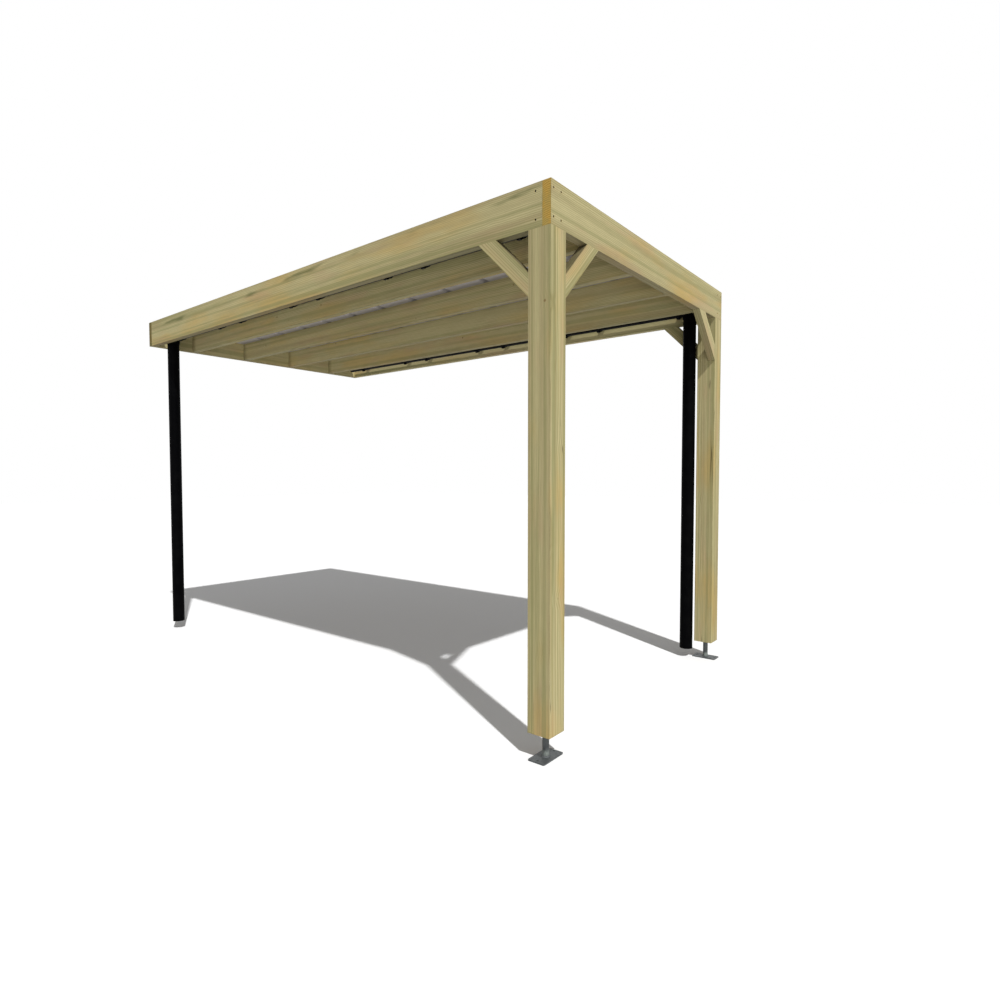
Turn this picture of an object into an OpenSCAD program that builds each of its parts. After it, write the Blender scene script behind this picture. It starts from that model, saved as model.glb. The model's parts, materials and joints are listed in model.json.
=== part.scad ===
// Lean-to timber carport: one end is fixed to a wall, the other stands on two posts.
// The origin is the middle of the ledger's back face, which lies on the wall.
// +X leads away from the wall, +Y leads to the rear and +Z is up.

/* [Overall] */
// Length from the wall to the outer face of the end beam
frame_l = 4035; // [3200:5:5000]
// Width over the outer faces of the front and rear beams
frame_w = 2130; // [1700:5:2800]
// Height of the beam tops above the ground
frame_h = 2565; // [2200:5:3000]

/* [Beams] */
// Thickness of the beam boards and of the ledger
beam_t = 45; // [38:1:60]
// Depth of the beam boards and of the ledger
beam_h = 195; // [190:1:240]

/* [Posts] */
// Side of the square posts
post_s = 120; // [110:1:150]
// Height of the post bottoms above the ground
post_lift = 118; // [80:1:160]
// Gap between a post's tongue and the roof sheet above it
tongue_gap = 5; // [3:1:20]

/* [Knee braces] */
// Width of a brace board
brace_w = 75; // [60:1:100]
// Thickness of a brace board
brace_t = 45; // [30:1:60]
// Distance from the corner to the lower edge of a brace, along the post and the beam
brace_reach = 290; // [220:1:400]

/* [Joists] */
// Thickness of a joist
joist_t = 45; // [38:1:60]
// Depth of a joist, whose bottom is level with the beam bottoms
joist_h = 145; // [135:1:150]
// Distance from the front beam's outer face to the first joist
joist_first = 335; // [250:1:450]
// Distance from the last joist to the rear beam's outer face
joist_last = 335; // [250:1:450]
// Number of joists
joist_count = 4; // [2:1:6]

/* [Roof sheets] */
// Number of sheets side by side
sheet_count = 4; // [2:1:6]
// Rib spacings across one sheet
sheet_bays = 3; // [2:1:4]
// Thickness of the sheet steel
sheet_t = 0.8; // [0.6:0.1:1.5]
// Height of the ribs over the pans
rib_h = 32; // [20:1:36]
// Width of a rib at its foot
rib_base = 65; // [50:1:90]
// Width of a rib at its crown
rib_crown = 30; // [20:1:45]
// Gap between the outer sheet edges and the boards beside them
sheet_gap = 2; // [1:0.5:6]
// Distance that the sheet ends reach past the middle of the gutters
sheet_past = 20; // [0:1:40]

/* [Gutters] */
// Outside radius of the half-round gutters
gutter_r = 55; // [50:1:62]
// Wall of the gutters
gutter_wall = 2.5; // [2:0.5:4]
// Gap between a gutter and the beam beside it
gutter_gap = 22; // [14:1:40]
// Height of the gutter bottoms above the beam bottoms
gutter_lift = 38; // [30:1:50]
// Distance from the wall to the gutter ends
gutter_start = 111; // [90:1:300]
// Gap between the gutter end caps and the tongues of the posts
gutter_end_gap = 4; // [3:1:60]
// Radius of the bead along the gutter rim
bead_r = 6; // [4:0.5:8]
// Thickness of the end caps
cap_t = 3; // [2:0.5:5]
// Length of the plug on each end cap
cap_plug = 6; // [3:0.5:8]

/* [Gutter brackets] */
// Width of a bracket along the gutter
bracket_w = 24; // [16:1:50]
// Thickness of the strap, arm and back plate
bracket_t = 5; // [3:0.5:7]
// Depth of the keel under the strap
bracket_keel = 6; // [2:0.5:8]
// Height of the back plate
bracket_plate_h = 70; // [50:1:90]
// Brackets along one gutter, an even number
bracket_count = 8; // [4:2:12]
// Distance from the wall to the first bracket
bracket_first = 300; // [240:1:400]
// Distance from the last bracket to the end beam's outer face
bracket_last = 260; // [250:1:400]
// Distance between the two brackets of a close pair
bracket_pair = 300; // [150:1:350]

/* [Downpipes] */
// Outside radius of the downpipes
pipe_r = 44; // [30:1:46]
// Wall of the downpipes
pipe_wall = 2; // [1.5:0.5:4]
// Height of the pipe ends above the ground
pipe_lift = 60; // [20:1:200]
// Wall of the outlets that hold the pipes
outlet_wall = 4; // [3:0.5:6]
// Length of an outlet below the gutter
outlet_h = 22; // [18:1:60]
// Height of the throat between the gutter and the pipe
throat_h = 6; // [4:1:10]
// Step from the pipe wall to the narrower throat
throat_step = 1; // [0.5:0.5:4]
// Distance from an outlet to the end of its gutter
outlet_margin = 3; // [2:0.5:40]

/* [Feet] */
// Long side of the foot plates
foot_l = 160; // [140:1:220]
// Short side of the foot plates
foot_w = 90; // [70:1:120]
// Radius of the foot plates' corners
foot_corner = 8; // [3:1:20]
// Thickness of the foot plates
foot_t = 6; // [4:0.5:10]
// Distance from the plate's end to the middle of an anchor hole
anchor_edge = 15; // [12:1:25]
// Diameter of the anchor holes
anchor_d = 11; // [9:0.5:14]
// Diameter of the foot rods
rod_d = 32; // [20:1:36]
// Length of a foot rod inside the post
rod_depth = 90; // [60:1:150]

/* [Hidden] */
// Clearance between pieces that slip into or over each other
fit = 0.3;
// Extra length of cutting shapes
over = 1;
$fn = 64;

timber_colour = [0.68, 0.63, 0.43];
steel_sheet_colour = [0.49, 0.47, 0.47];
gutter_colour = [0.03, 0.03, 0.03];
galvanised_colour = [0.44, 0.46, 0.45];

half_w = frame_w / 2;
beam_bottom = -beam_h / 2;
ground = beam_h / 2 - frame_h;
post_bottom = ground + post_lift;
post_x = frame_l - post_s;
post_middle_x = frame_l - post_s / 2;
post_middle_y = half_w - post_s / 2;

roof_z = beam_bottom + joist_h;
joist_pitch = (frame_w - joist_first - joist_last - joist_t) / (joist_count - 1);

sheet_x = beam_t + sheet_gap;
sheet_cover = (frame_l - 2 * sheet_x) / sheet_count;
rib_pitch = sheet_cover / sheet_bays;
rib_slope = (rib_base - rib_crown) / 2 / rib_h;
rib_skew = sqrt(1 + rib_slope * rib_slope);

gutter_set = beam_t + gutter_gap + gutter_r;
gutter_z = beam_bottom + gutter_lift + gutter_r;
gutter_stop = post_x - gutter_end_gap - cap_t;
gutter_y = half_w - gutter_set;
sheet_half_w = gutter_y + sheet_past;
bead_x = bead_r - gutter_r;

strap_in = gutter_r + fit;
strap_out = strap_in + bracket_t;
keel_top = bracket_w / 2;
keel_root = bracket_t / 2 - strap_out;
plate_x = gutter_gap + gutter_r;
bracket_lip = bead_r + fit;
bracket_span = (frame_l - bracket_first - bracket_last - (bracket_count / 2 - 1) * bracket_pair)
    / (bracket_count / 2);

outlet_r = pipe_r + fit + outlet_wall;
pipe_top = gutter_z - gutter_r - throat_h;
pipe_bottom = ground + pipe_lift;
throat_r = pipe_r - pipe_wall - throat_step;
pipe_inset = outlet_r + outlet_margin;
front_pipe_x = gutter_start + pipe_inset;
rear_pipe_x = gutter_stop - pipe_inset;

front = -1;
rear = 1;

// Shapes are drawn for the rear side, and the front side is their mirror image
module on_side(side) {
    mirror([0, side == front ? 1 : 0, 0]) children();
}

// Stands a section up and draws it out along the length: section x becomes Y, section y becomes Z
module along_length(x_start, x_stop, y, z) {
    translate([x_start, y, z])
        rotate([90, 0, 90])
            linear_extrude(x_stop - x_start) children();
}

// Frame boards
module wall_ledger() {
    color(timber_colour)
        translate([0, -half_w, beam_bottom]) cube([beam_t, frame_w, beam_h]);
}

module end_beam() {
    color(timber_colour)
        translate([frame_l - beam_t, -half_w, beam_bottom]) cube([beam_t, frame_w, beam_h]);
}

// The long beams stand between the ledger and the end beam
module long_beam(side) {
    color(timber_colour) on_side(side)
        translate([beam_t, half_w - beam_t, beam_bottom])
            cube([frame_l - 2 * beam_t, beam_t, beam_h]);
}

// A post is notched under both beams, and its tongue runs up in the corner behind them
module post(side) {
    tongue_s = post_s - beam_t;
    color(timber_colour) on_side(side) difference() {
        union() {
            translate([post_x, half_w - post_s, post_bottom])
                cube([post_s, post_s, beam_bottom - post_bottom]);
            translate([post_x, half_w - post_s, post_bottom])
                cube([tongue_s, tongue_s, roof_z - tongue_gap - post_bottom]);
        }
        translate([post_middle_x, post_middle_y, post_bottom - over])
            cylinder(h = rod_depth + over, d = rod_d + 2 * fit);
    }
}

// Brace outline with the corner of post and beam at its origin
module brace_outline() {
    near = brace_reach - brace_w * sqrt(2);
    polygon([[-near, 0], [-brace_reach, 0], [0, -brace_reach], [0, -near]]);
}

// Brace in the plane of a long beam
module side_brace(side) {
    color(timber_colour) on_side(side)
        translate([post_x, half_w, beam_bottom])
            rotate([90, 0, 0])
                linear_extrude(brace_t) brace_outline();
}

// Brace in the plane of the end beam
module end_brace(side) {
    color(timber_colour) on_side(side)
        along_length(frame_l - brace_t, frame_l, half_w - post_s, beam_bottom) brace_outline();
}

module joist(i) {
    color(timber_colour)
        translate([beam_t, joist_first - half_w + (i - 1) * joist_pitch, beam_bottom])
            cube([frame_l - 2 * beam_t, joist_t, joist_h]);
}

// Filled rib outline, grown outwards by a distance
module rib_outline(grow) {
    foot = rib_base / 2 + grow * rib_skew + rib_slope * over;
    crown = rib_base / 2 + grow * rib_skew - rib_slope * (rib_h + grow);
    polygon([[-foot, -over], [foot, -over], [crown, rib_h + grow], [-crown, rib_h + grow]]);
}

// The free half of a lapping rib ends just over the next sheet's pan
module lap_trim() {
    trim_w = rib_base + over;
    translate([0, -2 * over]) square([trim_w, 2 * over + sheet_t + fit]);
}

// Section of one sheet: it laps over the next sheet's first rib, and turns up beside the boards
module sheet_section(i) {
    first = i == 1;
    last = i == sheet_count;
    rib_from = first ? 1 : 0;
    rib_to = sheet_bays - 1;
    difference() {
        union() {
            square([sheet_cover, sheet_t]);
            if (first) square([sheet_t, rib_h]);
            if (last) translate([sheet_cover - sheet_t, 0]) square([sheet_t, rib_h]);
            intersection() {
                union() {
                    for (k = [rib_from : rib_to]) translate([k * rib_pitch, 0]) rib_outline(0);
                    if (!last) translate([sheet_cover, 0]) rib_outline(fit + sheet_t);
                }
                translate([-rib_base, 0]) square([sheet_cover + 2 * rib_base, 2 * rib_h]);
            }
        }
        for (k = [rib_from : rib_to]) translate([k * rib_pitch, 0]) rib_outline(-sheet_t);
        if (!last) translate([sheet_cover, 0]) {
            rib_outline(fit);
            lap_trim();
        }
    }
}

module roof_sheet(i) {
    color(steel_sheet_colour)
        translate([sheet_x + (i - 1) * sheet_cover, sheet_half_w, roof_z])
            rotate([90, 0, 0])
                linear_extrude(2 * sheet_half_w) sheet_section(i);
}

// Keeps the part of a section that lies below its origin
module lower_half(r) {
    intersection() {
        children();
        translate([-r - over, -r - over]) square([2 * (r + over), r + over]);
    }
}

// Half-round section with a bead along the rim away from the beam
module gutter_section() {
    lower_half(gutter_r) difference() {
        circle(r = gutter_r);
        circle(r = gutter_r - gutter_wall);
    }
    translate([bead_x, 0]) circle(r = bead_r);
}

module gutter(side, pipe_x) {
    color(gutter_colour) on_side(side) difference() {
        along_length(gutter_start, gutter_stop, gutter_y, gutter_z) gutter_section();
        translate([pipe_x, gutter_y, gutter_z - gutter_r - over])
            cylinder(h = gutter_r, r = throat_r);
    }
}

// An end cap closes the gutter and plugs into it below the bead
module gutter_caps(side) {
    plug_r = gutter_r - gutter_wall - fit;
    plug_top = -bead_r - fit;
    color(gutter_colour) on_side(side)
        for (end = [[gutter_start, -1], [gutter_stop, 1]]) {
            face = end[0];
            out = end[1];
            along_length(min(face, face + out * cap_t), max(face, face + out * cap_t), gutter_y, gutter_z)
                lower_half(gutter_r) circle(r = gutter_r);
            along_length(min(face, face - out * cap_plug), max(face, face - out * cap_plug),
                         gutter_y, gutter_z)
                difference() {
                    circle(r = plug_r);
                    circle(r = plug_r - cap_t);
                    translate([-plug_r, plug_top]) square([2 * plug_r, 2 * plug_r]);
                }
        }
}

// Strap with a keel, web and back plate on the beam, a hook over the bead and a nib at the back
module bracket_section() {
    lower_half(plate_x) difference() {
        union() {
            circle(r = strap_out);
            polygon([[0, -strap_out], [plate_x, fit - bracket_plate_h / 2], [plate_x, 0], [0, 0]]);
            polygon([[-keel_top, keel_root], [-keel_top / 2, -strap_out - bracket_keel],
                     [keel_top / 2, -strap_out - bracket_keel], [keel_top, keel_root]]);
        }
        circle(r = strap_in);
    }
    translate([plate_x - bracket_t, -bracket_plate_h / 2]) square([bracket_t, bracket_plate_h]);
    translate([strap_in, -bracket_t]) square([plate_x - strap_in, bracket_t + fit + bracket_t]);
    translate([gutter_r - gutter_wall - fit, fit]) square([gutter_wall + 2 * fit + over, bracket_t]);
    translate([-strap_out, -over]) square([bracket_t, over + bracket_lip + bracket_t]);
    translate([-strap_out, bracket_lip]) square([bracket_t + fit + 2 * bead_r, bracket_t]);
}

// Brackets stand in close pairs with long spans between
module gutter_brackets(side) {
    color(gutter_colour) on_side(side)
        for (i = [0 : bracket_count - 1]) {
            pairs = floor(i / 2);
            x = bracket_first + pairs * (bracket_span + bracket_pair) + (i % 2) * bracket_span;
            along_length(x - bracket_w / 2, x + bracket_w / 2, gutter_y, gutter_z) bracket_section();
        }
}

// An outlet is saddled to the gutter above and holds the pipe in its socket below
module outlet(side, pipe_x) {
    color(gutter_colour) on_side(side) difference() {
        translate([pipe_x, gutter_y, pipe_top + throat_h - outlet_h])
            cylinder(h = outlet_h + gutter_r, r = outlet_r);
        translate([pipe_x, gutter_y, pipe_top + throat_h - outlet_h - over])
            cylinder(h = outlet_h - throat_h + over, r = pipe_r + fit);
        translate([pipe_x, gutter_y, pipe_top - over])
            cylinder(h = gutter_r, r = throat_r);
        along_length(pipe_x - 2 * outlet_r, pipe_x + 2 * outlet_r, gutter_y, gutter_z) {
            circle(r = gutter_r + fit);
            translate([-gutter_r, -sqrt(pow(gutter_r + fit, 2) - pow(outlet_r, 2))])
                square([2 * gutter_r, 2 * gutter_r]);
        }
    }
}

module downpipe(side, pipe_x) {
    color(gutter_colour) on_side(side)
        translate([pipe_x, gutter_y, pipe_bottom]) difference() {
            cylinder(h = pipe_top - pipe_bottom, r = pipe_r);
            translate([0, 0, -over])
                cylinder(h = pipe_top - pipe_bottom + 2 * over, r = pipe_r - pipe_wall);
        }
}

// Plate outline with rounded corners
module foot_outline() {
    corner_x = foot_l / 2 - foot_corner;
    corner_y = foot_w / 2 - foot_corner;
    square([2 * corner_x, foot_w], center = true);
    square([foot_l, 2 * corner_y], center = true);
    for (x = [-corner_x, corner_x], y = [-corner_y, corner_y])
        translate([x, y]) circle(r = foot_corner);
}

// The plate lies across the frame under the front post, and along it under the rear post
module foot_plate(side) {
    anchor_x = foot_l / 2 - anchor_edge;
    color(galvanised_colour) on_side(side)
        translate([post_middle_x, post_middle_y, ground])
            rotate([0, 0, side == front ? 90 : 0])
                difference() {
                    linear_extrude(foot_t) foot_outline();
                    for (x = [-anchor_x, anchor_x])
                        translate([x, 0, -over]) cylinder(h = foot_t + 2 * over, d = anchor_d);
                }
}

// A rod stands on its plate and carries the post at the end of the hole drilled up into it
module foot_rod(side) {
    color(galvanised_colour) on_side(side)
        translate([post_middle_x, post_middle_y, ground + foot_t])
            cylinder(h = post_lift - foot_t + rod_depth, d = rod_d);
}

wall_ledger();
long_beam(front);  // front_beam
long_beam(rear);  // rear_beam
end_beam();
post(front);  // front_post
post(rear);  // rear_post
side_brace(front);  // front_post_side_brace
end_brace(front);  // front_post_end_brace
side_brace(rear);  // rear_post_side_brace
end_brace(rear);  // rear_post_end_brace
for (i = [1 : joist_count])
    joist(i);
for (i = [1 : sheet_count])
    roof_sheet(i);
gutter(front, front_pipe_x);  // front_gutter
gutter(rear, rear_pipe_x);  // rear_gutter
gutter_caps(front);  // front_gutter_caps
gutter_caps(rear);  // rear_gutter_caps
gutter_brackets(front);  // front_gutter_brackets
gutter_brackets(rear);  // rear_gutter_brackets
outlet(front, front_pipe_x);  // front_outlet
outlet(rear, rear_pipe_x);  // rear_outlet
downpipe(front, front_pipe_x);  // front_downpipe
downpipe(rear, rear_pipe_x);  // rear_downpipe
foot_plate(front);  // front_foot_plate
foot_plate(rear);  // rear_foot_plate
foot_rod(front);  // front_foot_rod
foot_rod(rear);  // rear_foot_rod
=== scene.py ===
import json
import math
import random

import bmesh
import bpy
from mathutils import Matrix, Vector


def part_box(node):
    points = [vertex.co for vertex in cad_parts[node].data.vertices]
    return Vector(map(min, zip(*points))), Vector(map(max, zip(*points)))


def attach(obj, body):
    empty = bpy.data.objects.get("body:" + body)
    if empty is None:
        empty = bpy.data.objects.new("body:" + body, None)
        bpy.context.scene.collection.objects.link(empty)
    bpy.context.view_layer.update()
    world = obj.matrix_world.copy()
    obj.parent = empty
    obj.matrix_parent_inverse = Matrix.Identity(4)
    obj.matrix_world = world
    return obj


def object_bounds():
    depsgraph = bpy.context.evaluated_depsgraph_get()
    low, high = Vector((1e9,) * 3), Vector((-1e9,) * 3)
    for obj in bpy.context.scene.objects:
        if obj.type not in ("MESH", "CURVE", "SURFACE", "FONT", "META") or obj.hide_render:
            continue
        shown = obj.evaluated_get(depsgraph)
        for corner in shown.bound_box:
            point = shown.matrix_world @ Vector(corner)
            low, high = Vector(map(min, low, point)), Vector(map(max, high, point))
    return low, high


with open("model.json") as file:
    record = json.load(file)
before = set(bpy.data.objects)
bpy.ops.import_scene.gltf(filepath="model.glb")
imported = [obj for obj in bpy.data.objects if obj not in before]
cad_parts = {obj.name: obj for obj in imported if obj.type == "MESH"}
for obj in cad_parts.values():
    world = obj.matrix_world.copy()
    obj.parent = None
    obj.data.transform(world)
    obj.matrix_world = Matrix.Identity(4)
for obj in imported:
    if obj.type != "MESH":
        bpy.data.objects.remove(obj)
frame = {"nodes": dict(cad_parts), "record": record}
nodes = frame["nodes"]
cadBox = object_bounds()
scene = bpy.context.scene
scene.view_settings.view_transform = "Standard"
print("frame:", len(nodes), "nodes")


def srgb(red, green, blue):
    # a colour picked on a 0 to 255 scale, as the shader wants it
    shares = [value / 255 for value in (red, green, blue)]
    linear = [s / 12.92 if s <= 0.04045 else ((s + 0.055) / 1.055) ** 2.4 for s in shares]
    return (*linear, 1.0)


# a value in a material: sums on it add Math nodes, and node() adds any other node
class Wire:
    def __init__(self, tree, socket=None):
        self.tree = tree
        self.socket = socket

    def node(self, kind, settings=None, sockets=None, output=0):
        made = self.tree.nodes.new(kind)
        for name, value in (settings or {}).items():
            if name == "stops":
                fillRamp(made.color_ramp, value)
            else:
                setattr(made, name, value)
        for key, value in (sockets or {}).items():
            if isinstance(value, Wire):
                self.tree.links.new(value.socket, made.inputs[key])
            else:
                made.inputs[key].default_value = value
        return Wire(self.tree, made.outputs[output] if len(made.outputs) else None)

    def maths(self, operation, *values):
        return self.node("ShaderNodeMath", {"operation": operation}, dict(enumerate(values)))

    def __add__(self, other):
        return self.maths("ADD", self, other)

    def __radd__(self, other):
        return self.maths("ADD", other, self)

    def __sub__(self, other):
        return self.maths("SUBTRACT", self, other)

    def __rsub__(self, other):
        return self.maths("SUBTRACT", other, self)

    def __mul__(self, other):
        return self.maths("MULTIPLY", self, other)

    def __rmul__(self, other):
        return self.maths("MULTIPLY", other, self)

    def __truediv__(self, other):
        return self.maths("DIVIDE", self, other)

    def __rtruediv__(self, other):
        return self.maths("DIVIDE", other, self)

    def __abs__(self):
        return self.maths("ABSOLUTE", self)

    def least(self, other):
        return self.maths("MINIMUM", self, other)

    def most(self, other):
        return self.maths("MAXIMUM", self, other)

    # 0 below low, 1 above high, smooth between
    def rise(self, low, high):
        return self.node("ShaderNodeMapRange", {"interpolation_type": "SMOOTHSTEP"},
                         {"Value": self, "From Min": low, "From Max": high})

    def ramp(self, stops):
        return self.node("ShaderNodeValToRGB", {"stops": stops}, {0: self})

    def fract(self):
        return self.maths("FRACT", self)

    # colours: share says how much of the second one shows
    def blend(self, share, first, second, way="MIX"):
        return self.node("ShaderNodeMix", {"data_type": "RGBA", "blend_type": way},
                         {0: share, 6: first, 7: second}, 2)

    def vector(self, operation, *values, output=0):
        return self.node("ShaderNodeVectorMath", {"operation": operation},
                         dict(enumerate((self, *values))), output)

    def dot(self, other):
        return self.vector("DOT_PRODUCT", other, output=1)

    def noise(self, scale, detail=2.0, output=0):
        return self.node("ShaderNodeTexNoise", None,
                         {"Vector": self, "Scale": scale, "Detail": detail}, output)


def fillRamp(ramp, stops):
    while len(ramp.elements) < len(stops):
        ramp.elements.new(1.0)
    for element, (place, shade) in zip(ramp.elements, stops):
        element.position = place
        element.color = shade if isinstance(shade, tuple) else (shade, shade, shade, 1.0)


def newMaterial(name):
    material = bpy.data.materials.new(name)
    material.use_nodes = True
    material.node_tree.nodes.clear()
    return material, Wire(material.node_tree)


def finishMaterial(paint, sockets):
    shader = paint.node("ShaderNodeBsdfPrincipled", None, sockets)
    paint.node("ShaderNodeOutputMaterial", None, {"Surface": shader})


def dress(obj, material):
    obj.data.materials.clear()
    obj.data.materials.append(material)


# camera, where the photograph was taken from
view = {"place": (5.543, -3.305, -1.182), "pitch": -2.219, "turn": 38.595, "lens": 22.19}
cameraData = bpy.data.cameras.new("camera")
cameraData.sensor_width = 36
cameraData.lens = view["lens"]
camera = bpy.data.objects.new("camera", cameraData)
camera.location = view["place"]
camera.rotation_euler = (math.radians(90 + view["pitch"]), 0, math.radians(view["turn"]))
scene.collection.objects.link(camera)
scene.camera = camera
print("camera set")


# sun from the front right, weak fill from low down, and a soft sky
light = {"sky": 0.31, "backdrop": 1.0, "lamps": {
    "sun": {"travels": (-0.5225, 0.268, -0.809), "power": 3.05, "softness": 1.2},
    "frontFill": {"travels": (-0.68, 0.6, 0.42), "power": 1.43, "softness": 60},
    "rearFill": {"travels": (0.6, -0.75, 0.28), "power": 0.82, "softness": 60},
}}
for name, lamp in light["lamps"].items():
    lampData = bpy.data.lights.new(name, "SUN")
    lampData.energy = lamp["power"]
    lampData.angle = math.radians(lamp["softness"])
    lampObj = bpy.data.objects.new(name, lampData)
    lampObj.rotation_euler = Vector(lamp["travels"]).to_track_quat("-Z", "Y").to_euler()
    scene.collection.objects.link(lampObj)


def seenDirectly(paint):
    # camera, glossy and transmission rays see the backdrop, the rest only light the object
    path = paint.node("ShaderNodeLightPath")
    rays = [Wire(paint.tree, path.socket.node.outputs[name])
            for name in ("Is Camera Ray", "Is Glossy Ray", "Is Transmission Ray")]
    return rays[0].most(rays[1]).most(rays[2])


world = bpy.data.worlds.new("sky")
scene.world = world
world.use_nodes = True
world.node_tree.nodes.clear()
sky = Wire(world.node_tree)
seen = seenDirectly(sky)
above = sky.node("ShaderNodeTexCoord", None, None, "Generated").dot((0, 0, 1)).rise(-0.01, 0.01)
dark, upper, backdrop = [
    sky.node("ShaderNodeBackground", None, {"Color": (1, 1, 1, 1), "Strength": strength})
    for strength in (0.0, light["sky"], light["backdrop"])]
skyLight = sky.node("ShaderNodeMixShader", None, {0: above, 1: dark, 2: upper})
mixed = sky.node("ShaderNodeMixShader", None, {0: seen, 1: skyLight, 2: backdrop})
sky.node("ShaderNodeOutputWorld", None, {"Surface": mixed})


# pale floor under the foot plates
floorPlan = {"size": 60.0, "drop": 0.0005,
             "shown": (0.98, 0.98, 0.98, 1), "bounced": (0.22, 0.22, 0.22, 1)}
floorMesh = bpy.data.meshes.new("floor")
half = floorPlan["size"] / 2
level = cadBox[0].z - floorPlan["drop"]
corners = [(x * half, y * half, level) for x, y in ((-1, -1), (1, -1), (1, 1), (-1, 1))]
floorMesh.from_pydata(corners, [], [(0, 1, 2, 3)])
floor = bpy.data.objects.new("floor", floorMesh)
scene.collection.objects.link(floor)
floor.visible_shadow = False  # the fill comes from below it
floorMaterial, paint = newMaterial("paleFloor")
shade = paint.blend(seenDirectly(paint), floorPlan["bounced"], floorPlan["shown"])
finishMaterial(paint, {"Base Color": shade, "Roughness": 1.0, "Specular IOR Level": 0.0})
dress(floor, floorMaterial)
print("light and floor set")


braceWidth = 0.075


# where a board lies: its middle, its axes along, across and through, and its half sizes
def boardAxes(name):
    low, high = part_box(name)
    middle = (low + high) / 2
    size = high - low
    axes = [Vector((1, 0, 0)), Vector((0, 1, 0)), Vector((0, 0, 1))]
    if "brace" not in name:
        order = sorted(range(3), key=lambda i: -round(size[i], 3))
        return middle, [axes[i] for i in order], [size[i] / 2 for i in order]
    # a brace rises from its post at 45 degrees, into the frame
    flat = 0 if "side" in name else 1
    inward = axes[flat] * (-1 if flat == 0 or middle.y > 0 else 1)
    corner = middle.copy()
    corner[flat] = high[flat] if inward[flat] < 0 else low[flat]
    corner.z = high.z
    reach = size.z
    shift = (2 * reach - braceWidth * math.sqrt(2)) / 4
    rise = (inward + axes[2]).normalized()
    slope = (inward - axes[2]).normalized()
    return (corner + (inward - axes[2]) * shift, [rise, slope, axes[1 - flat]],
            [reach / math.sqrt(2), braceWidth / 2, size[1 - flat] / 2])


# timber: green-tinted softwood, each board cut from its own log
timber = {
    "early": srgb(213, 202, 152), "late": srgb(166, 153, 99), "olive": srgb(150, 149, 97),
    "tan": srgb(214, 179, 104), "pink": srgb(204, 170, 132), "brown": srgb(166, 148, 108),
    "knot": srgb(128, 94, 54), "endEarly": srgb(222, 182, 88), "endLate": srgb(158, 116, 44),
    "endGreen": srgb(168, 160, 98), "stain": srgb(92, 100, 52), "edge": srgb(132, 122, 76),
    # the last colour in this table is painted shade: it darkens brace tops, joist ends and top edges,
    # and undersides
    "crack": srgb(58, 46, 26), "paintedShade": srgb(82, 75, 50),
    "arris": 0.0025, "knotScale": 5.0, "bump": 0.0012,
}
boards = {
    # the ledger's low end value and its extra green paint shade on its end grain
    "wall_ledger": {"seed": 3, "toneAndPaintedLight": 0.95, "warm": 0.4, "olive": 0.5,
                    "ring": 0.0085, "end": 0.4, "shadedEndGreen": 0.6, "rough": 0.3},
    "front_beam": {"seed": 11, "toneAndPaintedLight": 0.97, "warm": 0.65, "olive": 0.6,
                   "ring": 0.0088, "end": 1.0, "stain": 0.7, "rough": 0.6},
    "rear_beam": {"seed": 17, "toneAndPaintedLight": 0.97, "warm": 0.5, "olive": 0.6,
                  "ring": 0.0088, "end": 1.0, "stain": 0.7},
    "end_beam": {"seed": 23, "toneAndPaintedLight": 0.91, "warm": 0.85, "olive": 0.45,
                 "ring": 0.0092, "end": 1.0, "rough": 0.4},
    "front_post": {"seed": 31, "toneAndPaintedLight": 0.975, "warm": 0.8, "olive": 0.6,
                   "ring": 0.0078, "end": 0.8, "crack": 0.6},
    "rear_post": {"seed": 37, "toneAndPaintedLight": 0.95, "warm": 0.7, "olive": 0.55,
                  "ring": 0.0078, "end": 0.8, "crack": 0.6},
    "front_post_side_brace": {"seed": 41, "toneAndPaintedLight": 0.92, "warm": 0.4, "olive": 0.6,
                              "ring": 0.0078, "end": 0.9, "rough": 0.3},
    "front_post_end_brace": {"seed": 43, "toneAndPaintedLight": 0.91, "warm": 0.5, "olive": 0.5,
                             "ring": 0.0078, "end": 0.9, "rough": 0.3},
    "rear_post_side_brace": {"seed": 47, "toneAndPaintedLight": 0.97, "warm": 0.4, "olive": 0.6,
                             "ring": 0.0078, "end": 0.9, "rough": 0.3},
    "rear_post_end_brace": {"seed": 53, "toneAndPaintedLight": 0.97, "warm": 0.5, "olive": 0.5,
                            "ring": 0.0078, "end": 0.9, "rough": 0.3},
    # joist_1's raised tone is painted light, making up for the shade the front beam casts on its face
    "joist_1": {"seed": 61, "toneAndPaintedLight": 1.22, "warm": 0.5, "olive": 0.45,
                "ring": 0.0088, "end": 1.0, "sheetEdgeShade": 0.5, "rough": 0.38},
    "joist_2": {"seed": 67, "toneAndPaintedLight": 1.0, "warm": 0.5, "olive": 0.4,
                "ring": 0.0088, "end": 1.0, "sheetEdgeShade": 0.3, "rough": 0.38},
    "joist_3": {"seed": 71, "toneAndPaintedLight": 1.0, "warm": 0.45, "olive": 0.45,
                "ring": 0.0088, "end": 1.0, "sheetEdgeShade": 0.15, "rough": 0.38},
    "joist_4": {"seed": 73, "toneAndPaintedLight": 1.0, "warm": 0.5, "olive": 0.4,
                "ring": 0.0088, "end": 1.0, "sheetEdgeShade": 0.1, "rough": 0.38},
}


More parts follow.
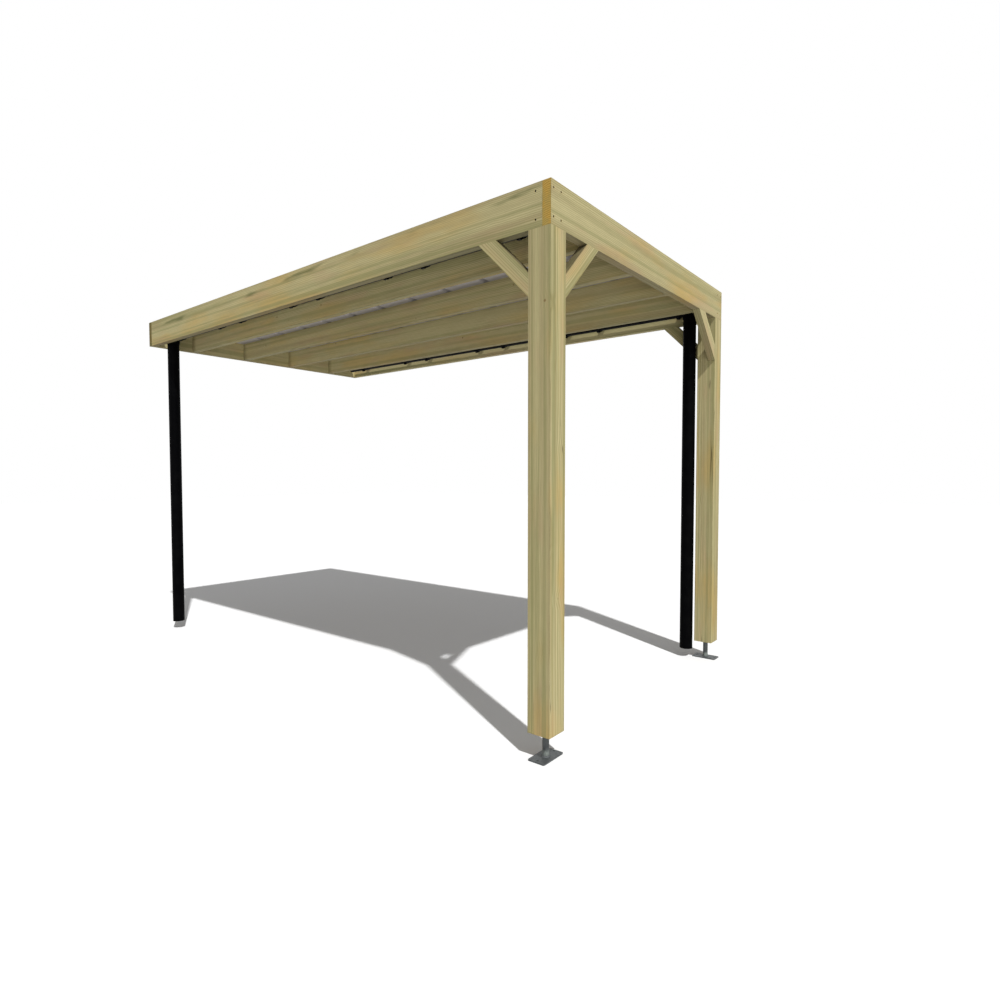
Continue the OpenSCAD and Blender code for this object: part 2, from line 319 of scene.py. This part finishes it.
def timberFinish(name, board):
    material, paint = newMaterial(name + "_timber")
    draw = random.Random(board["seed"])
    middle, axes, half = boardAxes(name)
    place = paint.node("ShaderNodeTexCoord", None, None, "Object").vector("SUBTRACT", middle)
    along, across, depth = [place.dot(axis) for axis in axes]
    log = paint.node("ShaderNodeCombineXYZ", None, {0: along, 1: across, 2: depth})
    grain = log.vector("ADD", [draw.uniform(-30, 30) for i in range(3)])

    def fibres(lengthwise, crosswise, detail=2.0, output=0):
        return grain.vector("MULTIPLY", (lengthwise, crosswise, crosswise)).noise(1.0, detail, output)

    # a few small knots, and the rings that bend round them
    cells = paint.node("ShaderNodeTexVoronoi", None,
                       {"Vector": grain, "Scale": timber["knotScale"]}, "Distance")
    nearKnot = cells + (fibres(30, 60) - 0.5) * 0.02
    knot = 1 - nearKnot.rise(0.02, 0.045)
    swirl = 1 - nearKnot.rise(0.0, 0.3)
    # straight growth rings round a pith outside the board
    pith = (0, draw.choice((-1, 1)) * draw.uniform(1.5, 2.3) * half[1],
            draw.choice((-1, 1)) * draw.uniform(0.8, 1.6) * half[2])
    sway = fibres(0.7, 1.6, 2.0, 1).vector("SUBTRACT", (0.5, 0.5, 0.5))
    sway = sway.vector("MULTIPLY", (0, 0.03, 0.03))
    outward = log.vector("MULTIPLY", (0, 1, 1)).vector("SUBTRACT", pith).vector("ADD", sway)
    radius = outward.vector("LENGTH", output=1) + along * 0.002 + swirl * 0.008
    radius = radius + (fibres(2, 30) - 0.5) * 0.004 + (fibres(0.3, 11) - 0.5) * 0.03
    late = (radius / board["ring"]).fract()
    late = late.ramp([(0, 0.3), (0.1, 0.0), (0.5, 0.15), (0.86, 1.0), (1.0, 0.4)])
    # streaks and patches of the treatment, and the fine fibre
    streak = fibres(0.4, 36, 3.0).rise(0.46, 0.66)
    stripe = fibres(0.22, 15, 2.0).rise(0.48, 0.7)
    patch = fibres(1.3, 5, 3.0).rise(0.46, 0.68)
    blush = fibres(2.2, 9, 2.0).rise(0.52, 0.72)
    fibre = fibres(10, 380, 2.0)
    shade = paint.blend(late * (0.35 + fibres(0.8, 9) * 0.85), timber["early"], timber["late"])
    shade = paint.blend(patch * board["warm"], shade, timber["tan"])
    shade = paint.blend(blush * 0.4, shade, timber["pink"])
    shade = paint.blend(stripe * 0.45, shade, timber["brown"])
    shade = paint.blend(streak * board["olive"], shade, timber["olive"])
    if "stain" in board:
        # green stains in a broken line below the top edge
        line = across - half[1] * 0.6 + (fibres(0.9, 0.5) - 0.5) * 0.12
        line = line + (fibres(9, 40) - 0.5) * 0.02
        wet = (1 - abs(line).rise(0.0, 0.024)) * fibres(2.4, 14, 3.0).rise(0.48, 0.64)
        shade = paint.blend(wet * board["stain"], shade, timber["stain"])
    shade = paint.blend(knot * 0.7, shade, timber["knot"])
    # end grain, and the worn arris
    faces = paint.node("ShaderNodeTexCoord", None, None, "Normal")
    ends = abs(faces.dot(axes[0])).rise(0.6, 0.85)
    if "brace" in name:
        ends = abs(faces.dot(axes[0])).rise(0.6, 0.68) * (1 - abs(faces.dot(axes[2])))
    endShade = paint.blend(late * 0.8, timber["endEarly"], timber["endLate"])
    # a board's extra green on its end grain paints shade there
    moss = fibres(18, 18, 3.0).rise(0.48, 0.66) * 0.35 + board.get("shadedEndGreen", 0.0)
    endShade = paint.blend(moss, endShade, timber["endGreen"])
    endShade = paint.blend(1.0, endShade, (board["end"], board["end"], board["end"], 1), "MULTIPLY")
    shade = paint.blend(ends, shade, endShade)
    rim = [half[i] - abs(part) for i, part in enumerate((along, across, depth))]
    middleRim = rim[0].least(rim[1]).most(rim[0].most(rim[1]).least(rim[2]))
    arris = (1 - middleRim.rise(0.001, 0.006)) * fibres(6, 30).rise(0.35, 0.7)
    shade = paint.blend(arris * 0.4, shade, timber["edge"])
    if "brace" in name:
        # painted shade on the sloping top, broken by noise
        paintedShade = faces.dot((0, 0, 1)).rise(0.45, 0.68) * fibres(5, 20, 3.0).rise(0.1, 0.5)
        shade = paint.blend(paintedShade * 0.85, shade, timber["paintedShade"])
    if "sheetEdgeShade" in board:
        # painted shade: a dark end at the ledger, and a dark edge under the sheet
        ledgerEndShade = 1 - (along + half[0] + (fibres(4, 40) - 0.5) * 0.03).rise(0.0, 0.07)
        sheetEdgeShade = 1 - (half[1] - across + (fibres(6, 30) - 0.5) * 0.01).rise(0.004, 0.03)
        shade = paint.blend((ledgerEndShade * 0.5).most(sheetEdgeShade * board["sheetEdgeShade"]), shade, timber["paintedShade"])
    if "rough" in board:
        # painted shade darkens the underside
        rough = faces.dot((0, 0, -1)).rise(0.3, 0.7) * board["rough"]
        shade = paint.blend(rough, shade, timber["paintedShade"])
    height = late * 0.35 + fibre * 0.6 - knot * 0.3
    if "crack" in board:
        crack = (1 - abs(fibres(0.4, 16) - 0.5).rise(0.001, 0.006)) * fibres(0.7, 6).rise(0.52, 0.6)
        shade = paint.blend(crack * board["crack"], shade, timber["crack"])
        height = height - crack
    # each board's tone scales its colour; for joist_1 it is raised as painted light
    toneAndPaintedLight = fibre.ramp([(0.25, 0.8 * board["toneAndPaintedLight"]), (0.75, board["toneAndPaintedLight"])])
    shade = paint.blend(1.0, shade, toneAndPaintedLight, "MULTIPLY")
    bump = paint.node("ShaderNodeBump", None,
                      {"Strength": 0.5, "Distance": timber["bump"], "Height": height})
    finishMaterial(paint, {"Base Color": shade, "Roughness": 0.78 + fibre * 0.14, "Normal": bump,
                           "Specular IOR Level": 0.3})
    return material


def roundEdges(obj, width, steps):
    bevel = obj.modifiers.new("arris", "BEVEL")
    bevel.width = width
    bevel.segments = steps
    bevel.limit_method = "ANGLE"
    bevel.angle_limit = math.radians(30)


for name, board in boards.items():
    dress(nodes[name], timberFinish(name, board))
    roundEdges(nodes[name], timber["arris"], 2)
print("timber:", len(boards), "boards")


# roof sheet: coated steel, grey above with a pale lilac-grey coat below
sheet = {"under": srgb(206, 201, 203), "underDull": srgb(188, 183, 184), "top": srgb(152, 150, 152),
         "topDull": srgb(146, 144, 146), "dust": srgb(150, 144, 130),
         # the first colour on the next line is painted shade for the sheet's underside
         "sheetShade": srgb(112, 107, 101), "besideJoist": (0.015, 0.06), "besideEnd": (0.2, 0.45)}
sheetMaterial, paint = newMaterial("coatedSheet")
coords = paint.node("ShaderNodeTexCoord", None, None, "Object")
upward = paint.node("ShaderNodeTexCoord", None, None, "Normal").dot((0, 0, 1)).rise(-0.1, 0.1)
cloud = coords.noise(5.0, 4.0).rise(0.3, 0.7)
runs = coords.vector("MULTIPLY", (60, 0.8, 60)).noise(1.0, 3.0).rise(0.48, 0.72)
below = paint.blend(cloud, sheet["under"], sheet["underDull"])
# painted shade on the underside, along the joists and beside the end beam
gaps = []
for number in range(1, 5):
    low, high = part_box("joist_%d" % number)
    gaps.append(abs(coords.dot((0, 1, 0)) - (low.y + high.y) / 2) - (high.y - low.y) / 2)
fromJoist = gaps[0].least(gaps[1]).least(gaps[2]).least(gaps[3])
sheetShade = 1 - (fromJoist + (cloud - 0.5) * 0.02).rise(*sheet["besideJoist"])
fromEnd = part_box("end_beam")[0].x - coords.dot((1, 0, 0))
sheetShade = sheetShade.most(1 - fromEnd.rise(*sheet["besideEnd"]))
below = paint.blend(sheetShade * 0.58, below, sheet["sheetShade"])
above = paint.blend(cloud, sheet["top"], sheet["topDull"])
# rain leaves dust in runs towards the gutters
eaves = abs(coords.dot((0, 1, 0))).rise(0.3, 0.96)
above = paint.blend(runs * (0.15 + eaves * 0.4), above, sheet["dust"])
shade = paint.blend(upward, below, above)
bump = paint.node("ShaderNodeBump", None,
                  {"Strength": 0.2, "Distance": 0.0004, "Height": coords.noise(900, 2.0)})
finishMaterial(paint, {"Base Color": shade, "Roughness": 0.42 + runs * 0.15, "Normal": bump})

# gutters and pipes: black plastic, a little dusty on top
plastic = {"black": srgb(3, 3, 4), "worn": srgb(7, 7, 8), "dust": srgb(34, 33, 30)}
plasticMaterial, paint = newMaterial("blackPlastic")
coords = paint.node("ShaderNodeTexCoord", None, None, "Object")
upward = paint.node("ShaderNodeTexCoord", None, None, "Normal").dot((0, 0, 1))
cloud = coords.noise(14.0, 3.0)
shade = paint.blend(cloud.rise(0.4, 0.7), plastic["black"], plastic["worn"])
shade = paint.blend(upward.rise(0.3, 0.9) * cloud * 0.5, shade, plastic["dust"])
bump = paint.node("ShaderNodeBump", None,
                  {"Strength": 0.15, "Distance": 0.0003, "Height": coords.noise(700, 2.0)})
finishMaterial(paint, {"Base Color": shade, "Roughness": 0.42 + cloud * 0.18, "Normal": bump,
                       "Specular IOR Level": 0.02})

# feet: dull galvanised steel with a faint spangle
zinc = {"light": srgb(88, 92, 93), "dark": srgb(64, 68, 69), "white": srgb(108, 112, 110),
        # the pale colour on the next line is painted light for the rod's foot
        "paint": srgb(148, 156, 150)}


def zincFinish(name, sunOnRodFoot):
    material, paint = newMaterial(name)
    coords = paint.node("ShaderNodeTexCoord", None, None, "Object")
    spangle = paint.node("ShaderNodeTexVoronoi", None, {"Vector": coords, "Scale": 120.0}, "Color")
    spangle = spangle.dot((0.33, 0.33, 0.34))
    bloom = coords.noise(35.0, 4.0).rise(0.5, 0.75)
    shade = paint.blend(spangle, zinc["dark"], zinc["light"])
    shade = paint.blend(bloom * 0.35, shade, zinc["white"])
    if sunOnRodFoot:
        # painted light: a pale band a little way up the rod from the plate, standing in for sun on
        # its foot
        height = coords.dot((0, 0, 1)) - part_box("front_foot_plate")[1].z
        height = height + (coords.noise(90.0) - 0.5) * 0.012
        shade = paint.blend((1 - height.rise(0.016, 0.036)) * 0.8, shade, zinc["paint"])
    bump = paint.node("ShaderNodeBump", None,
                      {"Strength": 0.2, "Distance": 0.0004, "Height": coords.noise(400, 3.0)})
    finishMaterial(paint, {"Base Color": shade, "Metallic": 0.35, "Roughness": 0.5 + bloom * 0.25,
                           "Normal": bump})
    return material


zincMaterial = zincFinish("galvanised", False)
rodMaterial = zincFinish("galvanisedRod", True)

finishes = {"roof_sheet": sheetMaterial, "gutter_black": plasticMaterial,
            "galvanised_steel": zincMaterial}
slots = {row["node"]: row["material_slot"] for row in frame["record"]["subparts"]}
for name, obj in nodes.items():
    if slots[name] in finishes:
        dress(obj, finishes[slots[name]])
for end in ("front", "rear"):
    dress(nodes[end + "_foot_rod"], rodMaterial)
print("finishes:", len(finishes) + len(boards) + 1)


def newPiece(name, mesh, material, slot):
    data = bpy.data.meshes.new(name)
    bmesh.ops.recalc_face_normals(mesh, faces=mesh.faces)
    mesh.to_mesh(data)
    mesh.free()
    obj = bpy.data.objects.new(name, data)
    scene.collection.objects.link(obj)
    dress(obj, material)
    if slot:
        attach(obj, "root")
    return obj


# a turned form: each row is a radius, a height along the axis and how deep its lobes are
def turned(mesh, place, axis, profile, around, lobes=6):
    side = axis.orthogonal().normalized()
    other = axis.cross(side)
    rows = []
    for radius, height, depth in profile:
        row = []
        for step in range(around):
            angle = 2 * math.pi * step / around
            reach = radius + depth * math.cos(lobes * angle)
            spoke = side * math.cos(angle) + other * math.sin(angle)
            row.append(mesh.verts.new(place + axis * height + spoke * reach))
        rows.append(row)
    for lower, upper in zip(rows, rows[1:]):
        for step in range(around):
            after = (step + 1) % around
            mesh.faces.new((lower[step], lower[after], upper[after], upper[step]))
    mesh.faces.new(rows[0][::-1])
    mesh.faces.new(rows[-1])


# corner screws: star heads sunk a little way into the boards
screw = {"head": 0.0048, "sunk": 0.0012, "shank": 0.0024, "length": 0.018,
         "star": 0.0021, "lobe": 0.0004, "hole": 0.0052,
         "rows": (0.0625, -0.061), "endColumns": (1.044, 0.985), "sideColumn": 3.9535,
         "steel": srgb(46, 43, 36), "tarnish": srgb(30, 28, 22)}
screwMaterial, paint = newMaterial("screwSteel")
tarnish = paint.node("ShaderNodeTexCoord", None, None, "Object").noise(600.0, 2.0)
shade = paint.blend(tarnish.rise(0.4, 0.6), screw["steel"], screw["tarnish"])
finishMaterial(paint, {"Base Color": shade, "Metallic": 0.8, "Roughness": 0.35 + tarnish * 0.3})

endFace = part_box("end_beam")[1].x
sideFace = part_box("rear_beam")[1].y
screwSpots = {"end_beam": [], "front_beam": [], "rear_beam": []}
for level in screw["rows"]:
    for column in screw["endColumns"]:
        for hand in (-1, 1):
            place = Vector((endFace, hand * column, level))
            screwSpots["end_beam"].append((place, Vector((1, 0, 0))))
    for beam, hand in (("front_beam", -1), ("rear_beam", 1)):
        place = Vector((screw["sideColumn"], hand * sideFace, level))
        screwSpots[beam].append((place, Vector((0, hand, 0))))

for beam, spots in screwSpots.items():
    heads = bmesh.new()
    holes = bmesh.new()
    for place, axis in spots:
        top = -screw["sunk"]
        turned(heads, place, axis, [
            (screw["shank"], -screw["length"], 0), (screw["shank"], top - 0.0034, 0),
            (screw["head"], top - 0.0008, 0), (screw["head"] * 0.97, top - 0.0002, 0),
            (screw["head"] * 0.8, top, 0), (screw["star"] + screw["lobe"] * 1.6, top + 0.0001, 0),
            (screw["star"], top, screw["lobe"]),
            (screw["star"] * 0.85, top - 0.0022, screw["lobe"] * 0.8)], 36)
        turned(holes, place, axis, [
            (screw["hole"] * 0.9, top - 0.003, 0), (screw["hole"], 0.004, 0)], 24)
    newPiece(beam + "_screws", heads, screwMaterial, "galvanised_steel")
    cutter = newPiece(beam + "_screw_holes", holes, nodes[beam].data.materials[0], None)
    cutter.hide_render = True
    drilled = nodes[beam].modifiers.new("screwHoles", "BOOLEAN")
    drilled.operation = "DIFFERENCE"
    drilled.solver = "EXACT"
    drilled.object = cutter
print("corner screws:", sum(len(spots) for spots in screwSpots.values()))


# roof screws: hexagon heads on washers, in the pans over each joist
roofScrew = {"sheet": 0.0008, "pitch": 0.32842, "first": 0.047, "pans": 12,
             "washer": 0.008, "head": 0.0048, "tall": 0.0055}
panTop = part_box("joist_1")[1].z + roofScrew["sheet"]
heads = bmesh.new()
for number in range(1, 5):
    low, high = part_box("joist_%d" % number)
    for pan in range(roofScrew["pans"]):
        middle = roofScrew["first"] + (pan + 0.5) * roofScrew["pitch"]
        spot = Vector((middle, (low.y + high.y) / 2, panTop))
        turned(heads, spot, Vector((0, 0, 1)), [
            (roofScrew["washer"], 0, 0), (roofScrew["washer"], 0.0012, 0),
            (roofScrew["washer"] * 0.9, 0.0019, 0), (roofScrew["head"] * 0.9, 0.0021, 0)], 24)
        turned(heads, spot, Vector((0, 0, 1)), [
            (roofScrew["head"], 0.0018, 0), (roofScrew["head"], roofScrew["tall"] - 0.0006, 0),
            (roofScrew["head"] * 0.85, roofScrew["tall"], 0)], 6)
newPiece("roof_screws", heads, zincMaterial, "galvanised_steel")

# foam fillers close the hollow ribs over the gutters
filler = {"foot": 0.0306, "crown": 0.0143, "low": 0.0005, "high": 0.0304,
          "out": 0.955, "deep": 0.03, "ribs": 11}
foam = bmesh.new()
outline = ((-filler["foot"], filler["low"]), (filler["foot"], filler["low"]),
           (filler["crown"], filler["high"]), (-filler["crown"], filler["high"]))
for rib in range(1, filler["ribs"] + 1):
    middle = roofScrew["first"] + rib * roofScrew["pitch"]
    for hand in (-1, 1):
        outer, inner = [
            [foam.verts.new((middle + side, hand * reach, panTop - roofScrew["sheet"] + up))
             for side, up in outline]
            for reach in (filler["out"], filler["out"] - filler["deep"])]
        foam.faces.new(outer)
        foam.faces.new(inner[::-1])
        for step in range(4):
            after = (step + 1) % 4
            foam.faces.new((outer[after], outer[step], inner[step], inner[after]))
newPiece("rib_fillers", foam, plasticMaterial, "gutter_black")

# weld beads where the rods stand on their plates
weld = {"width": 0.006, "ripple": 0.0005, "ripples": 22, "around": 132}
for end in ("front", "rear"):
    low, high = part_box(end + "_foot_rod")
    rod = (high.x - low.x) / 2
    spot = Vector(((low.x + high.x) / 2, (low.y + high.y) / 2, low.z))
    bead = bmesh.new()
    turned(bead, spot, Vector((0, 0, 1)), [
        (rod + weld["width"], -0.0002, 0), (rod + weld["width"] * 0.9, 0.0012, weld["ripple"]),
        (rod + weld["width"] * 0.55, 0.0034, weld["ripple"]),
        (rod + weld["width"] * 0.2, 0.0052, weld["ripple"]),
        (rod - 0.0004, 0.006, 0)], weld["around"], weld["ripples"])
    newPiece(end + "_weld", bead, zincMaterial, "galvanised_steel")
    roundEdges(nodes[end + "_foot_plate"], 0.0008, 2)
print("roof screws, rib fillers and welds placed")
